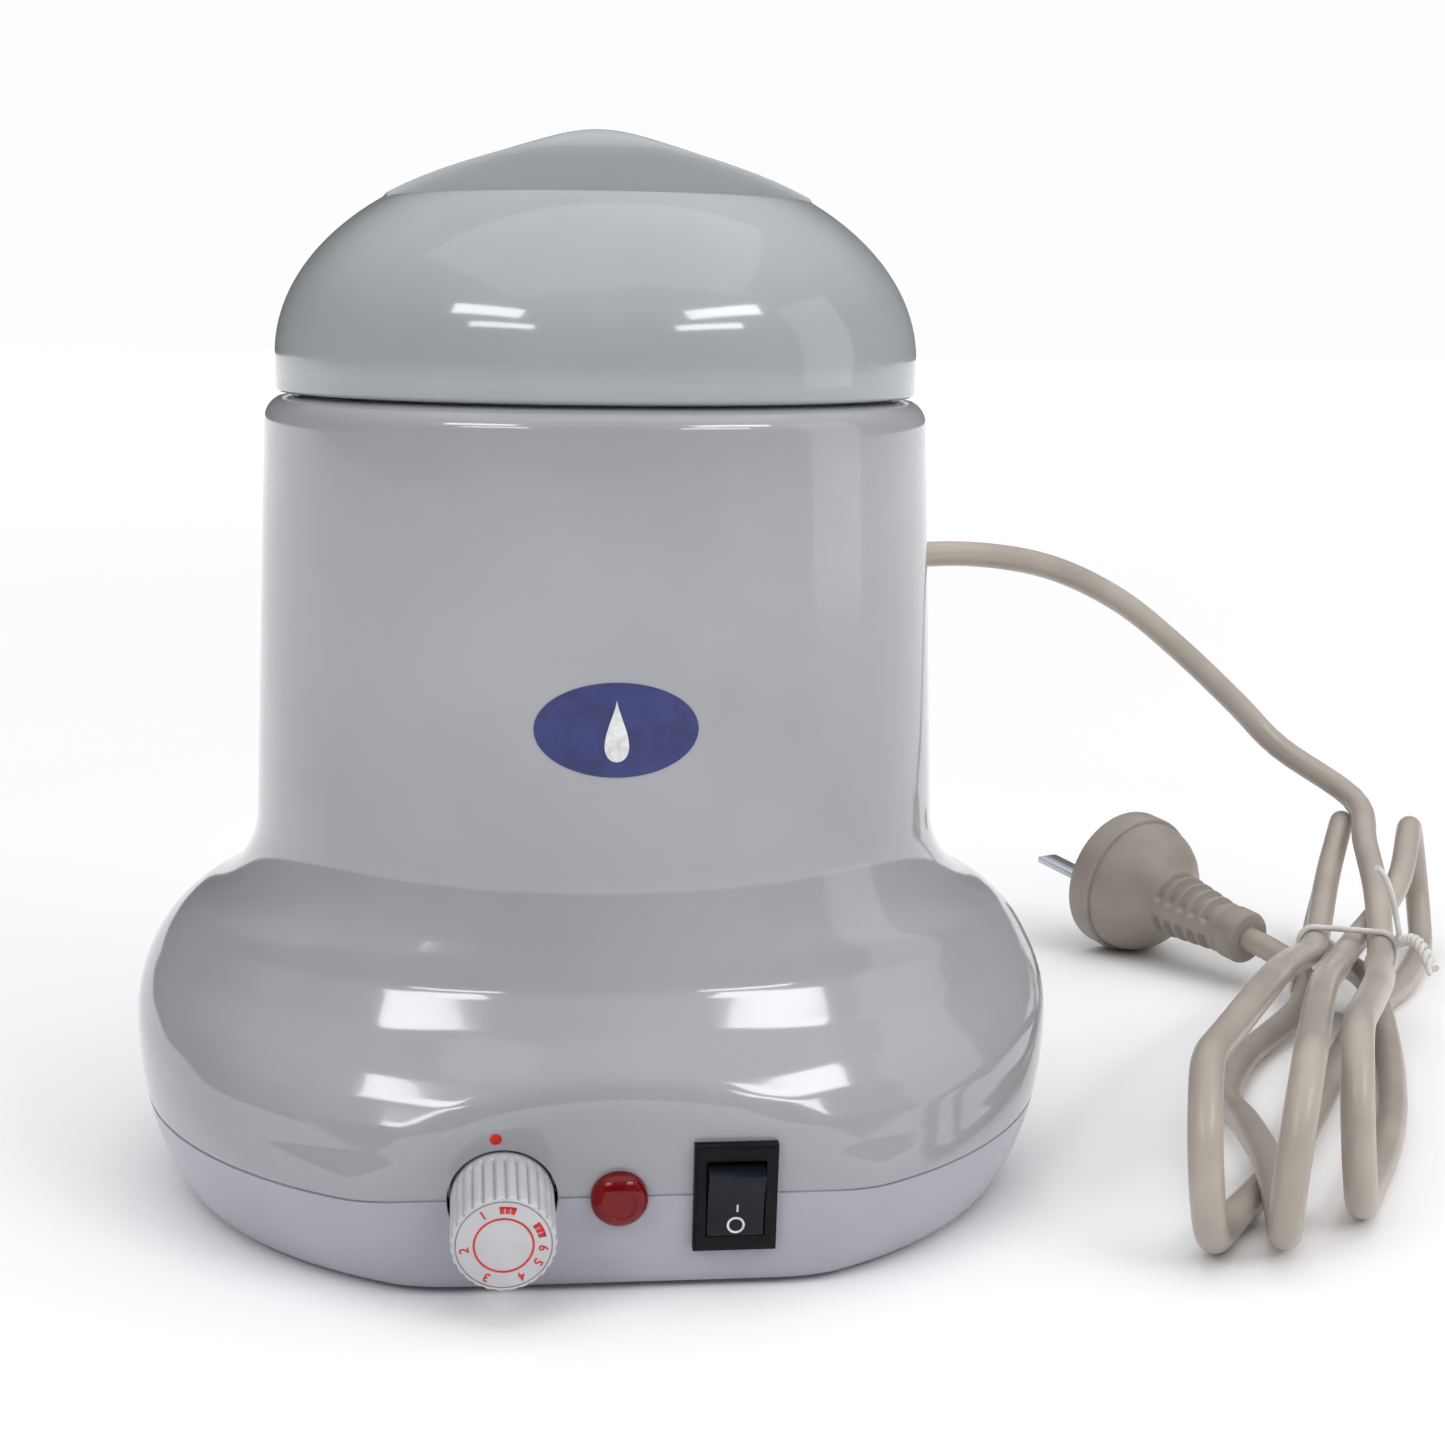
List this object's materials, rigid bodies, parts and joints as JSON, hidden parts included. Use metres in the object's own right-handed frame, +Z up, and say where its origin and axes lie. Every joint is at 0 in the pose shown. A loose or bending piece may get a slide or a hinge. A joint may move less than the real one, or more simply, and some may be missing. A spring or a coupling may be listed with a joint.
{
  "type": "wax heater",
  "caption": "Tabletop wax heater with a bell-shaped housing, round base with a flat control panel, lift-off lid, lift-out pot with a bail, and a mains lead tied in a hank.",
  "frame": {"origin": "centre of the base, in the plane of the feet", "axes": "+Z up, front with the control panel towards -Y, +X to the right seen from the front"},
  "size_m": [0.333, 0.2691, 0.2098],
  "materials": {
    "housing_abs": "gloss moulded",
    "base_abs": "gloss moulded",
    "lid_abs": "gloss moulded",
    "rubber_feet": "matt moulded",
    "plated_steel": "zinc plated",
    "spun_aluminium": "spun and satin",
    "plain_label": "plain foil",
    "mica_band": "mica in a sheet wrap",
    "glass_wool": "felted glass fibre",
    "silicone": "satin",
    "phenolic": "moulded phenolic",
    "brass": "turned",
    "copper_tube": "drawn copper",
    "knob_abs": "satin moulded",
    "lens_red": "clear red polycarbonate",
    "lamp_nylon": "natural nylon",
    "switch_black": "fine matt moulded",
    "nylon_block": "natural nylon",
    "fuse_ceramic": "glazed",
    "wire_pvc": "extruded PVC",
    "cord_pvc": "extruded PVC",
    "plug_pvc": "moulded PVC",
    "tie_wire": "plastic-covered wire"
  },
  "bodies": {
    "root": {"housing": "housing_abs", "base_shell": "base_abs", "foot_1": "rubber_feet", "foot_2": "rubber_feet", "foot_3": "rubber_feet", "foot_4": "rubber_feet", "base_screws": "plated_steel", "rating_plate": "plain_label", "heating_well": "spun_aluminium", "well_screws": "plated_steel", "heater_band": "mica_band", "heater_clamp_screw": "plated_steel", "insulation_sleeve": "glass_wool", "thermostat": "phenolic", "thermostat_bushing": "brass", "thermostat_bracket": "plated_steel", "bracket_screws": "plated_steel", "capillary": "copper_tube", "lamp_lens": "lens_red", "lamp_body": "lamp_nylon", "lamp_nut": "switch_black", "switch_body": "switch_black", "switch_terminals": "brass", "terminal_block": "nylon_block", "terminal_screws": "brass", "thermal_fuse": "fuse_ceramic", "earth_tag": "brass", "earth_screw": "plated_steel", "wire_live": "wire_pvc", "wire_neutral": "wire_pvc", "wire_earth": "wire_pvc", "wire_switch": "wire_pvc", "wire_lamp": "wire_pvc", "wire_heater": "wire_pvc", "cord_gland": "cord_pvc", "gland_nut": "switch_black", "cord_lead": "cord_pvc", "cord_hank": "cord_pvc", "cord_tail": "cord_pvc", "cord_tie": "tie_wire", "plug_body": "plug_pvc", "plug_pins": "plated_steel"},
    "lid": {"lid": "lid_abs", "lid_seal": "silicone"},
    "pot": {"wax_pot": "spun_aluminium", "pot_ears": "plated_steel", "ear_rivets": "plated_steel"},
    "bail": {"bail": "plated_steel"},
    "knob": {"knob": "knob_abs", "knob_spindle": "plated_steel"},
    "rocker": {"rocker": "switch_black"}
  },
  "joints": [
    {"name": "pot_lift", "type": "slide", "parent": "root", "child": "pot", "axis": [0, 0, 1], "range_m": [0, 0.125]},
    {"name": "lid_lift", "type": "slide", "parent": "pot", "child": "lid", "axis": [0, 0, 1], "range_m": [0, 0.08]},
    {"name": "bail_swing", "type": "hinge", "parent": "pot", "child": "bail", "pos_m": [0, 0, 0.1405], "axis": [-1, 0, 0], "range_deg": [0, 180]},
    {"name": "knob_turn", "type": "hinge", "parent": "root", "child": "knob", "pos_m": [-0.0207, -0.0795, 0.019], "axis": [0, 0.989, 0.1478], "range_deg": [0, 285]},
    {"name": "rocker_tilt", "type": "hinge", "parent": "root", "child": "rocker", "pos_m": [0.0207, -0.07851, 0.01915], "axis": [-1, 0, 0], "range_deg": [0, 22]}
  ]
}
